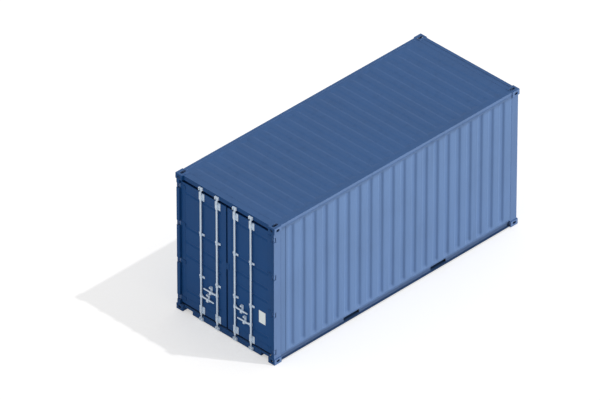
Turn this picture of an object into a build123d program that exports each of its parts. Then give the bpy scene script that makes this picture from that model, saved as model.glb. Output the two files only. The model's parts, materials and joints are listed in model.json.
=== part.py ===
"""Twenty-foot high-cube freight container with two hinged end doors, in millimetres.

The doors face -Y, the length runs along Y, and the origin is at the middle of the base.
"""

import os

from build123d import *

# Overall size
length = 6058
width = 2438
height = 2896

# Corner castings
casting_length = 178
casting_width = 162
casting_height = 118
casting_plate = 28.6
casting_wall = 15.5
casting_chamfer = 5
aperture_length = 124.5
aperture_width = 63.5
aperture_from_end = 102.5
aperture_from_side = 89.5
aperture_sides = 12
slot_length = 79.5
slot_height = 51

# How far each outer surface lies inside the castings' faces
side_inset = 20
post_front_inset = 7
end_inset = 20
field_inset = 8
rail_drop = 6
header_drop = 12
header_inset = 40

# Posts
post_face = 68
post_wall = 8
seat_width = 46
seat_plate = 12
closed_post_wall = 6

# Top and bottom rails
rail_size = 60
rail_wall = 4
bottom_rail_low = 22
bottom_rail_high = 165
bottom_rail_flange = 48
bottom_rail_gauge = 4.5
bottom_rail_lip = 20
cover_plate = 6

# Header over the doors and sill under them
header_height = 87
header_depth = 80
header_wall = 5
header_seat_drop = 52
sill_low = 12
sill_high = 126
sill_notch_width = 207
sill_notch_high = 85

# Pressed sheets
sheet_gauge = 2
groove_count = 20
groove_from_corner = 183
wall_mouth = 130
wall_floor = 68
wall_depth = 36
wall_run_margin = 27.5
wall_end_run = 52
field_slope = 45
field_edge = 2
field_from_door_post = 104
field_from_closed_post = 16
end_groove_count = 8
end_groove_from_corner = 110
roof_mouth = 184
roof_floor = 94
roof_depth = 10
roof_run_margin = 59
roof_end_run = 60

# Floor and underframe
floor_gauge = 28
member_depth = 115
member_flange = 45
member_gauge = 4
pocket_centre = 1080
pocket_width = 380
pocket_plate = 4
pocket_strap = 300
near_member_count = 2
far_member_count = 5
far_member_margin = 131

# Door leaves
leaf_depth = 50
leaf_inset = 50
leaf_gap = 6
leaf_centre_gap = 18
leaf_sill_gap = 37
leaf_header_gap = 63
stile_width = 100
cross_rail_width = 140
panel_setback = 2
leaf_groove_mouth = 64
leaf_groove_floor = 24
leaf_groove_depth = 10
leaf_groove_end_run = 20
leaf_groove_margin = 12
leaf_groove_height_shares = (0.0707, 0.3981, 0.5225, 0.66, 0.9743)

# Gaskets round the leaves
gasket_reach_low = 33
gasket_reach_high = 36
gasket_centre = 6
gasket_side_gap = 1.5
gasket_lap = 30
gasket_depth = 34
gasket_seat_gap = 0.5

# Hinges
hinge_count = 4
hinge_from_base = 260
hinge_from_top = 256
pin_from_side = 38
pin_from_front = 19
pin_radius = 8
pin_clearance = 0.4
knuckle_radius = 13
blade_gauge = 8
blade_length = 110
blade_height = 90
blade_tip_height = 64
crank_width = 18
notch_height = 136
notch_depth = 60
lug_gauge = 16
lug_back = 6

# Lock bars
inner_bar_from_centre = 201
outer_bar_from_side = 510
bar_radius = 17
bar_from_front = 23
bar_past_leaf_low = 18
bar_past_leaf_high = 51
shank_width = 14
shank_past_cam = 18
cam_reach = 26
cam_gauge = 14
cam_height = 24
low_cam_under_sill_top = 66
high_cam_over_header_low = 31

# Bearings that carry the bars
bearing_clearance = 0.6
bearing_shell = 4
bearing_plate = 6
bearing_plate_width = 130
end_bearing_height = 150
end_saddle_height = 110
low_bearing_inset = 79
high_bearing_inset = 84
guide_height = 44
guide_height_shares = (0.3084, 0.6608)

# Cam keepers on the header and the sill
keeper_gauge = 10
keeper_base = 4
keeper_half_width = 42
keeper_slot = 15
keeper_cam_gap = 6
keeper_reach = 34

# Handles on the lock bars
outer_handle_rise = 401
inner_handle_rise = 596
hub_width = 42
hub_height = 60
hub_chamfer = 8
lug_reach = 41
handle_lug_gauge = 10
handle_lug_radius = 18
handle_gauge = 12
handle_height = 30
handle_tip_height = 24
handle_tip_round = 8
handle_length = 283
stud_radius = 6
stud_clearance = 0.3
stud_over = 2.5
handle_gap = 0.5

# Handle retainers on the leaves
retainer_from_bar = 163
retainer_width = 50
retainer_height = 172
retainer_rise = 14
retainer_plate = 6
shelf_width = 40
shelf_reach = 42
shelf_gap = 0.5
shelf_drop = 40
catch_gap = 56

# Plates on the right leaf
overlap_height = 130
overlap_rise = 1330
overlap_width = 68
overlap_gauge = 6
overlap_past_edge = 28
data_plate_width = 160
data_plate_height = 255
data_plate_gauge = 2
data_plate_from_side = 260
data_plate_rise = 664

# Cuts run past the faces they go through by this much
overrun = 5

# Places worked out from the sizes above
half_width = width / 2
half_length = length / 2
side_face = half_width - side_inset
post_front = half_length - post_front_inset
closed_front = half_length - end_inset
casting_inner_x = half_width - casting_width
casting_inner_y = half_length - casting_length
rail_high = height - rail_drop
rail_low = rail_high - rail_size
header_high = height - header_drop
header_low = header_high - header_height
header_face = half_length - header_inset
header_back = header_face - header_depth
header_seat_low = header_low - header_seat_drop
seat_inner = side_face - post_face - seat_width
post_inner = side_face - post_face
leaf_face = half_length - leaf_inset
leaf_back = leaf_face - leaf_depth
seat_face = header_back + seat_plate
leaf_low = sill_high + leaf_sill_gap
leaf_high = header_low - leaf_header_gap
leaf_outer = post_inner - leaf_gap
leaf_span = leaf_outer - leaf_centre_gap
leaf_rise = leaf_high - leaf_low
leaf_x = leaf_centre_gap + leaf_span / 2
inner_bar_x = leaf_centre_gap + inner_bar_from_centre
outer_bar_x = leaf_outer - outer_bar_from_side
leaf_z = leaf_low + leaf_rise / 2
pin_x = half_width - pin_from_side
pin_y = half_length - pin_from_front
bar_y = half_length - bar_from_front
bar_low = leaf_low - bar_past_leaf_low
bar_high = leaf_high + bar_past_leaf_high
low_cam_z = sill_high - low_cam_under_sill_top
high_cam_z = header_low + high_cam_over_header_low
shank_low = low_cam_z - cam_height / 2 - shank_past_cam
shank_high = high_cam_z + cam_height / 2 + shank_past_cam
outer_handle_z = leaf_low + outer_handle_rise
inner_handle_z = leaf_low + inner_handle_rise
hinge_step = (height - hinge_from_base - hinge_from_top) / (hinge_count - 1)
hinge_heights = [hinge_from_base + hinge_step * i for i in range(hinge_count)]
floor_low = bottom_rail_high - floor_gauge
web_x = side_face - bottom_rail_flange

# Each lock bar: its place across the doors, its handle's height and the way the handle points
left_bars = [(-outer_bar_x, outer_handle_z, 1), (-inner_bar_x, inner_handle_z, -1)]
right_bars = [(inner_bar_x, inner_handle_z, 1), (outer_bar_x, outer_handle_z, -1)]

os.makedirs("parts", exist_ok=True)


def write(part, name):
    """Label one finished piece and write it to its own file."""
    part.label = name
    export_step(part, f"parts/{name}.step")


def write_pair(part, name):
    """Write a right-hand piece and its mirror image on the left."""
    write(part, f"{name}_right")
    write(mirror(part, about=Plane.YZ), f"{name}_left")


# Corner castings: hollow blocks with an aperture on each outer face
def aperture(reach, across):
    """Long aperture whose rounded ends are made of flats."""
    with BuildSketch() as outline:
        Rectangle(reach - across, across)
        with GridLocations(reach - across, 0, 2, 1):
            RegularPolygon(across / 2, side_count=aperture_sides, major_radius=False)
    return outline.sketch


def casting_set(base, plate_low):
    """Four hollow castings on one level, the thick plate below or above."""
    centre_x = half_width - casting_width / 2
    centre_y = half_length - casting_length / 2
    cavity_low = base + (casting_plate if plate_low else casting_wall)
    cavity_height = casting_height - casting_plate - casting_wall
    slot_z = cavity_low + cavity_height / 2
    hole_x = half_width - aperture_from_side
    hole_y = half_length - aperture_from_end
    plate_base = base if plate_low else base + casting_height - casting_plate
    plate_aperture = aperture(aperture_length, aperture_width)
    side_aperture = aperture(slot_length, slot_height)
    with BuildPart() as castings:
        with BuildSketch(Plane.XY.offset(base)):
            with Locations((centre_x, -centre_y)):
                Rectangle(casting_width, casting_length)
        extrude(amount=casting_height)
        chamfer(castings.edges(), length=casting_chamfer)
        with BuildSketch(Plane.XY.offset(cavity_low)):
            with Locations((centre_x, -centre_y)):
                Rectangle(casting_width - 2 * casting_wall, casting_length - 2 * casting_wall)
        extrude(amount=cavity_height, mode=Mode.SUBTRACT)
        with BuildSketch(Plane.XY.offset(plate_base)):
            with Locations((hole_x, -hole_y)):
                add(plate_aperture, rotation=90)
        extrude(amount=casting_plate, mode=Mode.SUBTRACT)
        with BuildSketch(Plane.YZ.offset(half_width)):
            with Locations((-centre_y, slot_z)):
                add(side_aperture)
        extrude(amount=-casting_wall - overrun, mode=Mode.SUBTRACT)
        with BuildSketch(Plane.XZ.offset(half_length)):
            with Locations((centre_x, slot_z)):
                add(side_aperture)
        extrude(amount=-casting_wall - overrun, mode=Mode.SUBTRACT)
        mirror(about=Plane.YZ)
        mirror(about=Plane.XZ)
    return castings.part


write(casting_set(0, True), "corner_castings_bottom")
write(casting_set(height - casting_height, False), "corner_castings_top")

# Door-end posts: a box section with a flange that the door seals against
post_height = height - 2 * casting_height
post_depth = post_front - casting_inner_y
post_x = side_face - post_face / 2
with BuildPart() as door_post:
    with BuildSketch(Plane.XY.offset(casting_height)):
        with Locations((post_x, -post_front + post_depth / 2)):
            Rectangle(post_face, post_depth)
            Rectangle(post_face - 2 * post_wall, post_depth - 2 * post_wall, mode=Mode.SUBTRACT)
        with Locations((post_inner - seat_width / 2, -header_back - seat_plate / 2)):
            Rectangle(seat_width, seat_plate)
    extrude(amount=post_height)
    with Locations(*[(post_x, -post_front + notch_depth / 2, z) for z in hinge_heights]):
        Box(post_face, notch_depth, notch_height, mode=Mode.SUBTRACT)
    mirror(about=Plane.YZ)
write(door_post.part, "door_posts")

# Hinge seats: two lugs, a back plate and the pin, set into each notch of a post
with BuildPart() as hinge_seats:
    for z in hinge_heights:
        with BuildSketch(Plane.XY.offset(z - notch_height / 2)):
            with Locations((post_x, -post_front + notch_depth / 2)):
                Rectangle(post_face, notch_depth)
        extrude(amount=lug_gauge)
        with BuildSketch(Plane.XY.offset(z + notch_height / 2 - lug_gauge)):
            with Locations((post_x, -post_front + notch_depth / 2)):
                Rectangle(post_face, notch_depth)
        extrude(amount=lug_gauge)
        with Locations((post_x, -post_front + notch_depth - lug_back / 2, z)):
            Box(post_face, lug_back, notch_height)
        with Locations((pin_x, -pin_y, z)):
            Cylinder(pin_radius, notch_height - lug_gauge)
    mirror(about=Plane.YZ)
write(hinge_seats.part, "hinge_seats")

# Closed-end posts
closed_post_width = side_face - casting_inner_x
closed_post_depth = closed_front - casting_inner_y
with BuildPart() as closed_post:
    with BuildSketch(Plane.XY.offset(casting_height)):
        with Locations((side_face - closed_post_width / 2, closed_front - closed_post_depth / 2)):
            Rectangle(closed_post_width, closed_post_depth)
            Rectangle(
                closed_post_width - 2 * closed_post_wall,
                closed_post_depth - 2 * closed_post_wall,
                mode=Mode.SUBTRACT,
            )
    extrude(amount=post_height)
    mirror(about=Plane.YZ)
write(closed_post.part, "closed_end_posts")

# Header: a box beam, a seat for the door seal and a plate back to the roof
with BuildPart() as header:
    with BuildSketch(Plane.YZ):
        with Locations((-header_face + header_depth / 2, header_low + header_height / 2)):
            Rectangle(header_depth, header_height)
            Rectangle(header_depth - 2 * header_wall, header_height - 2 * header_wall, mode=Mode.SUBTRACT)
        with Locations((-header_back, header_high - cover_plate)):
            Rectangle(header_back - casting_inner_y, cover_plate, align=(Align.MIN, Align.MIN))
        with Locations((-header_back, header_seat_low)):
            Rectangle(seat_plate, header_low - header_seat_low, align=(Align.MAX, Align.MIN))
    extrude(amount=casting_inner_x, both=True)
    with BuildSketch(Plane.YZ):
        with Locations((-header_back, header_seat_low)):
            Rectangle(
                seat_plate,
                height - casting_height - header_seat_low,
                align=(Align.MAX, Align.MIN),
            )
    extrude(amount=seat_inner, both=True)
write(header.part, "door_header")

# Sill: a box beam notched beside each casting, with a strip that backs the seal
with BuildPart() as sill:
    with BuildSketch(Plane.YZ):
        with Locations((-header_face + header_depth / 2, (sill_low + sill_high) / 2)):
            Rectangle(header_depth, sill_high - sill_low)
            Rectangle(
                header_depth - 2 * header_wall,
                sill_high - sill_low - 2 * header_wall,
                mode=Mode.SUBTRACT,
            )
    extrude(amount=casting_inner_x, both=True)
    with BuildSketch(Plane.XZ.offset(header_back)):
        with Locations(
            (casting_inner_x - sill_notch_width / 2, sill_notch_high / 2),
            (-casting_inner_x + sill_notch_width / 2, sill_notch_high / 2),
        ):
            Rectangle(sill_notch_width, sill_notch_high)
    extrude(amount=header_depth, mode=Mode.SUBTRACT)
    with BuildSketch(Plane.YZ):
        with Locations((-header_back, sill_high)):
            Rectangle(seat_plate, bottom_rail_high - sill_high, align=(Align.MAX, Align.MIN))
    extrude(amount=seat_inner, both=True)
write(sill.part, "door_sill")

# Top side rails
with BuildPart() as top_rail:
    with BuildSketch(Plane.XZ):
        with Locations((side_face - rail_size / 2, rail_low + rail_size / 2)):
            Rectangle(rail_size, rail_size)
            Rectangle(rail_size - 2 * rail_wall, rail_size - 2 * rail_wall, mode=Mode.SUBTRACT)
    extrude(amount=casting_inner_y, both=True)
    mirror(about=Plane.YZ)
write(top_rail.part, "top_side_rails")

# Bottom side rails: channels open to the outside, in three lengths beside the fork pockets
pocket_near = pocket_centre - pocket_width / 2
pocket_far = pocket_centre + pocket_width / 2
pocket_high = floor_low - pocket_plate
rail_spans = [
    (-casting_inner_y, -pocket_far),
    (-pocket_near, pocket_near),
    (pocket_far, casting_inner_y),
]
lip_low = bottom_rail_high - bottom_rail_lip
lip_x = side_face - bottom_rail_gauge
rail_inner_x = web_x + bottom_rail_gauge
rail_flange_under = bottom_rail_high - bottom_rail_gauge
rail_flange_over = bottom_rail_low + bottom_rail_gauge
with BuildPart() as bottom_rails:
    for start, end in rail_spans:
        with BuildSketch(Plane.XZ.offset(-start)):
            with BuildLine():
                Polyline(
                    (side_face, bottom_rail_low),
                    (web_x, bottom_rail_low),
                    (web_x, bottom_rail_high),
                    (side_face, bottom_rail_high),
                    (side_face, lip_low),
                    (lip_x, lip_low),
                    (lip_x, rail_flange_under),
                    (rail_inner_x, rail_flange_under),
                    (rail_inner_x, rail_flange_over),
                    (side_face, rail_flange_over),
                    close=True,
                )
            make_face()
        extrude(amount=start - end)
    mirror(about=Plane.YZ)
write(bottom_rails.part, "bottom_side_rails")

# Fork pocket mouths: the rail carried on over each mouth, and a strap under it
with BuildPart() as mouths:
    for y in (-pocket_centre, pocket_centre):
        with BuildSketch(Plane.XZ.offset(-y)):
            with BuildLine():
                Polyline(
                    (web_x, pocket_high),
                    (web_x, bottom_rail_high),
                    (side_face, bottom_rail_high),
                    (side_face, lip_low),
                    (lip_x, lip_low),
                    (lip_x, rail_flange_under),
                    (rail_inner_x, rail_flange_under),
                    (rail_inner_x, pocket_high),
                    close=True,
                )
            make_face()
        extrude(amount=pocket_width / 2, both=True)
        with BuildSketch(Plane.XY.offset(bottom_rail_low)):
            with Locations((side_face - pocket_strap / 2, y)):
                Rectangle(pocket_strap, pocket_width)
        extrude(amount=bottom_rail_gauge)
    mirror(about=Plane.YZ)
write(mouths.part, "fork_pocket_mouths")

# Rails of the closed end
with BuildPart() as end_top_rail:
    with BuildSketch(Plane.YZ):
        with Locations((closed_front - rail_size / 2, rail_low + rail_size / 2)):
            Rectangle(rail_size, rail_size)
            Rectangle(rail_size - 2 * rail_wall, rail_size - 2 * rail_wall, mode=Mode.SUBTRACT)
        with Locations((casting_inner_y, header_high - cover_plate)):
            Rectangle(
                closed_front - rail_size - casting_inner_y,
                cover_plate,
                align=(Align.MIN, Align.MIN),
            )
    extrude(amount=casting_inner_x, both=True)
write(end_top_rail.part, "closed_end_top_rail")

with BuildPart() as end_bottom_rail:
    with BuildSketch(Plane.YZ):
        with Locations((closed_front - rail_size / 2, (bottom_rail_low + bottom_rail_high) / 2)):
            Rectangle(rail_size, bottom_rail_high - bottom_rail_low)
            Rectangle(
                rail_size - 2 * rail_wall,
                bottom_rail_high - bottom_rail_low - 2 * rail_wall,
                mode=Mode.SUBTRACT,
            )
    extrude(amount=casting_inner_x, both=True)
write(end_bottom_rail.part, "closed_end_bottom_rail")


# Pressed sheets: a flat margin, a raised field and tapered grooves pressed into it
def groove_tool(mouth, floor, run, end_run, depth):
    """Tapered block that presses one groove: two crossed profiles, so each face is flat."""
    with BuildPart() as tool:
        with BuildSketch(Plane.XZ):
            with BuildLine():
                Polyline(
                    (-mouth / 2, 0),
                    (mouth / 2, 0),
                    (floor / 2, -depth),
                    (-floor / 2, -depth),
                    close=True,
                )
            make_face()
        extrude(amount=run / 2, both=True)
        with BuildSketch(Plane.YZ):
            with BuildLine():
                Polyline(
                    (-run / 2, 0),
                    (run / 2, 0),
                    (run / 2 - end_run, -depth),
                    (end_run - run / 2, -depth),
                    close=True,
                )
            make_face()
        extrude(amount=mouth / 2, both=True, mode=Mode.INTERSECT)
    return tool.part


def pressed_sheet(panel, field, field_shift, rise, groove, places):
    """Sheet of even gauge with its outer face up: a pressed block less the same block lower."""
    tool = groove_tool(*groove)
    backing = groove[-1] + sheet_gauge
    with BuildPart() as block:
        with BuildSketch(Plane.XY.offset(-backing)):
            Rectangle(*panel)
        extrude(amount=backing)
        if rise:
            with BuildSketch():
                with Locations((field_shift, 0)):
                    Rectangle(*field)
            extrude(amount=rise, taper=field_slope)
        with Locations(*[(place, 0, rise) for place in places]):
            add(tool, mode=Mode.SUBTRACT)
    with BuildPart() as sheet:
        add(block.part)
        with Locations((0, 0, -sheet_gauge)):
            add(block.part, mode=Mode.SUBTRACT)
    return sheet.part


def groove_row(count, panel_length, margin):
    """Places of even grooves, the first and last at a margin from the panel's ends."""
    pitch = (panel_length - 2 * margin - wall_mouth) / (count - 1)
    return [pitch * (i - (count - 1) / 2) for i in range(count)]


# Side walls
wall_rise = side_inset - field_inset
wall_z = (bottom_rail_high + rail_low) / 2
wall_height = rail_low - bottom_rail_high
wall_panel = (2 * casting_inner_y, wall_height)
wall_field = (
    2 * casting_inner_y - field_from_door_post - field_from_closed_post,
    wall_height - 2 * field_edge,
)
wall_shift = (field_from_door_post - field_from_closed_post) / 2
wall_run = wall_height - 2 * wall_run_margin
wall_groove = (wall_mouth, wall_floor, wall_run, wall_end_run, wall_depth)
wall_places = groove_row(groove_count, wall_panel[0], groove_from_corner)
wall = pressed_sheet(wall_panel, wall_field, wall_shift, wall_rise, wall_groove, wall_places)
side_plane = Plane(origin=(side_face, 0, wall_z), x_dir=(0, 1, 0), z_dir=(1, 0, 0))
with BuildPart() as side_walls:
    with Locations(side_plane):
        add(wall)
    mirror(about=Plane.YZ)
write(side_walls.part, "side_walls")

# Closed end wall
end_panel = (2 * casting_inner_x, wall_height)
end_field = (2 * casting_inner_x - 2 * field_from_closed_post, wall_height - 2 * field_edge)
end_places = groove_row(end_groove_count, end_panel[0], end_groove_from_corner)
end_sheet = pressed_sheet(end_panel, end_field, 0, wall_rise, wall_groove, end_places)
end_plane = Plane(origin=(0, closed_front, wall_z), x_dir=(-1, 0, 0), z_dir=(0, 1, 0))
with BuildPart() as end_wall:
    with Locations(end_plane):
        add(end_sheet)
write(end_wall.part, "closed_end_wall")

# Roof
roof_panel = (2 * casting_inner_y, 2 * (side_face - rail_size))
roof_run = roof_panel[1] - 2 * roof_run_margin
roof_groove = (roof_mouth, roof_floor, roof_run, roof_end_run, roof_depth)
roof_sheet = pressed_sheet(roof_panel, roof_panel, 0, 0, roof_groove, wall_places)
roof_plane = Plane(origin=(0, 0, header_high), x_dir=(0, 1, 0), z_dir=(0, 0, 1))
with BuildPart() as roof:
    with Locations(roof_plane):
        add(roof_sheet)
write(roof.part, "roof")

# Floor of plywood, stepped in between the posts at each end
with BuildPart() as floor:
    with BuildSketch(Plane.XY.offset(floor_low)):
        Rectangle(2 * web_x, 2 * casting_inner_y)
        with Locations((0, -casting_inner_y)):
            Rectangle(
                2 * post_inner,
                header_back - casting_inner_y,
                align=(Align.CENTER, Align.MAX),
            )
        with Locations((0, casting_inner_y)):
            Rectangle(
                2 * casting_inner_x,
                closed_front - rail_size - casting_inner_y,
                align=(Align.CENTER, Align.MIN),
            )
    extrude(amount=floor_gauge)
write(floor.part, "floor")

# Cross members: channels under the floor, their backs towards the fork pockets beside them
near_spacing = pocket_near / (near_member_count + 1)
far_spacing = (casting_inner_y - far_member_margin - pocket_far) / far_member_count
half_members = [(near_spacing * (i + 1) - member_flange / 2, 1) for i in range(near_member_count)]
half_members += [(pocket_near, -1), (pocket_far, 1)]
half_members += [(pocket_far + far_spacing * (i + 1), 1) for i in range(far_member_count)]
member_backs = [(0, 1)] + half_members + [(-back, -way) for back, way in half_members]
member_z = floor_low - member_depth / 2
with BuildPart() as members:
    for back, way in member_backs:
        with BuildSketch(Plane.YZ):
            with Locations((back + way * member_flange / 2, member_z)):
                Rectangle(member_flange, member_depth)
            with Locations((back + way * (member_gauge + member_flange / 2), member_z)):
                Rectangle(member_flange, member_depth - 2 * member_gauge, mode=Mode.SUBTRACT)
        extrude(amount=web_x, both=True)
write(members.part, "cross_members")

# Fork pocket tops: plates between the backs of two cross members
with BuildPart() as pockets:
    with Locations(
        (0, -pocket_centre, floor_low - pocket_plate / 2),
        (0, pocket_centre, floor_low - pocket_plate / 2),
    ):
        Box(2 * web_x, pocket_width, pocket_plate)
write(pockets.part, "fork_pocket_tops")


# Door leaves: a tube frame round a pressed panel, with a black seal all round
with BuildPart() as leaf_frame:
    with BuildSketch(Plane.XZ.offset(leaf_back)):
        with Locations((leaf_x, leaf_z)):
            Rectangle(leaf_span, leaf_rise)
            Rectangle(leaf_span - 2 * stile_width, leaf_rise - 2 * cross_rail_width, mode=Mode.SUBTRACT)
    extrude(amount=leaf_depth)
write_pair(leaf_frame.part, "door_frame")

leaf_panel = (leaf_rise - 2 * cross_rail_width, leaf_span - 2 * stile_width)
leaf_groove = (
    leaf_groove_mouth,
    leaf_groove_floor,
    leaf_panel[1] - 2 * leaf_groove_margin,
    leaf_groove_end_run,
    leaf_groove_depth,
)
leaf_groove_places = [
    leaf_panel[0] * share - leaf_panel[0] / 2 for share in leaf_groove_height_shares
]
leaf_sheet = pressed_sheet(leaf_panel, leaf_panel, 0, 0, leaf_groove, leaf_groove_places)
leaf_plane = Plane(
    origin=(leaf_x, panel_setback - leaf_face, leaf_z), x_dir=(0, 0, 1), z_dir=(0, -1, 0)
)
with BuildPart() as panel:
    with Locations(leaf_plane):
        add(leaf_sheet)
write_pair(panel.part, "door_panel")

with BuildPart() as seal:
    with BuildSketch(Plane.XZ.offset(seat_face + gasket_seat_gap)):
        with Locations((gasket_centre, leaf_low - gasket_reach_low)):
            Rectangle(
                post_inner - gasket_side_gap - gasket_centre,
                leaf_rise + gasket_reach_low + gasket_reach_high,
                align=(Align.MIN, Align.MIN),
            )
        with Locations((leaf_x, leaf_z)):
            Rectangle(leaf_span - 2 * gasket_lap, leaf_rise - 2 * gasket_lap, mode=Mode.SUBTRACT)
    extrude(amount=gasket_depth)
    with BuildSketch(Plane.XZ.offset(leaf_back)):
        with Locations((leaf_x, leaf_z)):
            Rectangle(leaf_span, leaf_rise)
    extrude(amount=leaf_depth, mode=Mode.SUBTRACT)
write_pair(seal.part, "door_seal")

# Hinge blades: a tapered blade on the leaf, cranked out to a knuckle round the pin
with BuildPart() as hinges:
    for z in hinge_heights:
        with BuildSketch(Plane.XZ.offset(leaf_face)):
            with BuildLine():
                Polyline(
                    (pin_x + crank_width / 2, z - blade_height / 2),
                    (pin_x + crank_width / 2, z + blade_height / 2),
                    (leaf_outer, z + blade_height / 2),
                    (leaf_outer - blade_length, z + blade_tip_height / 2),
                    (leaf_outer - blade_length, z - blade_tip_height / 2),
                    (leaf_outer, z - blade_height / 2),
                    close=True,
                )
            make_face()
        extrude(amount=blade_gauge)
        with Locations((pin_x, -(pin_y + leaf_face) / 2, z)):
            Box(crank_width, pin_y - leaf_face, blade_height)
        with Locations((pin_x, -pin_y, z)):
            Cylinder(knuckle_radius, blade_height)
    with Locations(*[(pin_x, -pin_y, z) for z in hinge_heights]):
        Cylinder(pin_radius + pin_clearance, blade_height, mode=Mode.SUBTRACT)
write_pair(hinges.part, "door_hinges")

# Bearings: straps folded round the bar on wide plates, tall near the bar's ends and short between
bore_radius = bar_radius + bearing_clearance
shell_radius = bore_radius + bearing_shell
plate_front = leaf_face + bearing_plate


def bar_bearings(bars):
    """All the bearings on one leaf."""
    ends = [leaf_low + low_bearing_inset, leaf_high - high_bearing_inset]
    straps = [leaf_low + leaf_rise * share for share in guide_height_shares]
    places = [(z, end_bearing_height, end_saddle_height) for z in ends]
    places += [(z, guide_height, guide_height) for z in straps]
    with BuildPart() as bearings:
        for x, handle_z, hand in bars:
            for z, plate_height, strap_height in places:
                with Locations((x, -(leaf_face + bearing_plate / 2), z)):
                    Box(bearing_plate_width, bearing_plate, plate_height)
                with BuildSketch(Plane.XY.offset(z - strap_height / 2)):
                    for reach, way in ((shell_radius, Mode.ADD), (bore_radius, Mode.SUBTRACT)):
                        with BuildLine():
                            Polyline(
                                (x - reach, -plate_front),
                                (x - reach, -bar_y - reach / 2),
                                (x - reach / 2, -bar_y - reach),
                                (x + reach / 2, -bar_y - reach),
                                (x + reach, -bar_y - reach / 2),
                                (x + reach, -plate_front),
                                close=True,
                            )
                        make_face(mode=way)
                extrude(amount=strap_height)
    return bearings.part


write(bar_bearings(left_bars), "bar_bearings_left")
write(bar_bearings(right_bars), "bar_bearings_right")


# Cam keepers: ears each side of the bar's shank that hold the cam from above and below
ear_half = cam_height / 2 + keeper_cam_gap
keeper_half_height = ear_half + keeper_gauge
ear_width = keeper_half_width - keeper_slot
ear_x = keeper_slot + ear_width / 2
ear_hollow_x = keeper_slot + (ear_width - keeper_gauge) / 2
keeper_face = header_face + keeper_base
with BuildPart() as keepers:
    for x, handle_z, hand in left_bars + right_bars:
        for cam_z in (low_cam_z, high_cam_z):
            with Locations((x, -(header_face + keeper_base / 2), cam_z)):
                Box(2 * keeper_half_width, keeper_base, 2 * keeper_half_height)
            for side in (-1, 1):
                with BuildSketch(Plane.XZ.offset(keeper_face)):
                    with Locations((x + side * ear_x, cam_z)):
                        Rectangle(ear_width, 2 * keeper_half_height)
                    with Locations((x + side * ear_hollow_x, cam_z)):
                        Rectangle(ear_width - keeper_gauge, 2 * ear_half, mode=Mode.SUBTRACT)
                extrude(amount=keeper_reach - keeper_base)
write(keepers.part, "cam_keepers")


# Lock bars: a tube that carries forgings, a cam end seated on each end and a collar for the handle
def lock_bar(x):
    """The tube of one bar."""
    with BuildPart() as bar:
        with BuildSketch(Plane.XY.offset(bar_low)):
            with Locations((x, -bar_y)):
                Circle(bar_radius)
        extrude(amount=bar_high - bar_low)
    return bar.part


def bar_forgings(x, handle_z, hand):
    """Cam ends and collar of one bar, their cams and lug pointing to +X when hand is 1."""
    lug_x = x + hand * lug_reach
    with BuildPart() as forgings:
        with BuildSketch(Plane.XY.offset(handle_z - hub_height / 2)) as hub:
            with Locations((x, -bar_y)):
                Rectangle(hub_width, hub_width)
            chamfer(hub.vertices(), length=hub_chamfer)
        extrude(amount=hub_height)
        with BuildSketch(Plane.XZ.offset(bar_y - handle_lug_gauge / 2)) as lug:
            with Locations((x + hand * (lug_reach + handle_lug_radius) / 2, handle_z)):
                Rectangle(lug_reach + handle_lug_radius, 2 * handle_lug_radius)
            chamfer(lug.vertices(), length=handle_lug_radius / 2)
        extrude(amount=handle_lug_gauge)
        with BuildSketch(Plane.XZ.offset(bar_y + handle_lug_gauge / 2)):
            with Locations((lug_x, handle_z)):
                Circle(stud_radius)
        extrude(amount=handle_gap + handle_gauge + stud_over)
        with Locations((x, -bar_y, handle_z)):
            Cylinder(bar_radius, hub_height + overrun, mode=Mode.SUBTRACT)
        for start, end in ((shank_low, bar_low), (bar_high, shank_high)):
            with BuildSketch(Plane.XY.offset(start)):
                with Locations((x, -bar_y)):
                    Rectangle(shank_width, shank_width)
            extrude(amount=end - start)
        for cam_z in (low_cam_z, high_cam_z):
            with BuildSketch(Plane.XY.offset(cam_z - cam_height / 2)):
                with Locations((x + hand * cam_reach / 2, -bar_y)):
                    Rectangle(cam_reach, cam_gauge)
            extrude(amount=cam_height)
    return forgings.part


def bar_handle(x, handle_z, hand):
    """One handle: an eye on the stud and an arm that tapers to its tip."""
    lug_x = x + hand * lug_reach
    tip_x = lug_x + hand * handle_length
    eye_x = lug_x - hand * handle_height / 2
    tip_top = handle_z - handle_height / 2 + handle_tip_height
    back = bar_y + handle_lug_gauge / 2 + handle_gap
    with BuildPart() as handle:
        with BuildSketch(Plane.XZ.offset(back)):
            with BuildLine():
                Polyline(
                    (eye_x, handle_z - handle_height / 4),
                    (eye_x + hand * handle_height / 4, handle_z - handle_height / 2),
                    (tip_x - hand * handle_tip_round, handle_z - handle_height / 2),
                    (tip_x, handle_z - handle_height / 2 + handle_tip_round),
                    (tip_x, tip_top - handle_tip_round),
                    (tip_x - hand * handle_tip_round, tip_top),
                    (eye_x + hand * handle_height / 4, handle_z + handle_height / 2),
                    (eye_x, handle_z + handle_height / 4),
                    close=True,
                )
            make_face()
            with Locations((lug_x, handle_z)):
                Circle(stud_radius + stud_clearance, mode=Mode.SUBTRACT)
        extrude(amount=handle_gauge)
    return handle.part


for number, (x, handle_z, hand) in enumerate(left_bars + right_bars, start=1):
    write(lock_bar(x), f"lock_bar_{number}")
    write(bar_forgings(x, handle_z, hand), f"bar_forgings_{number}")
    write(bar_handle(x, handle_z, hand), f"bar_handle_{number}")

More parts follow.
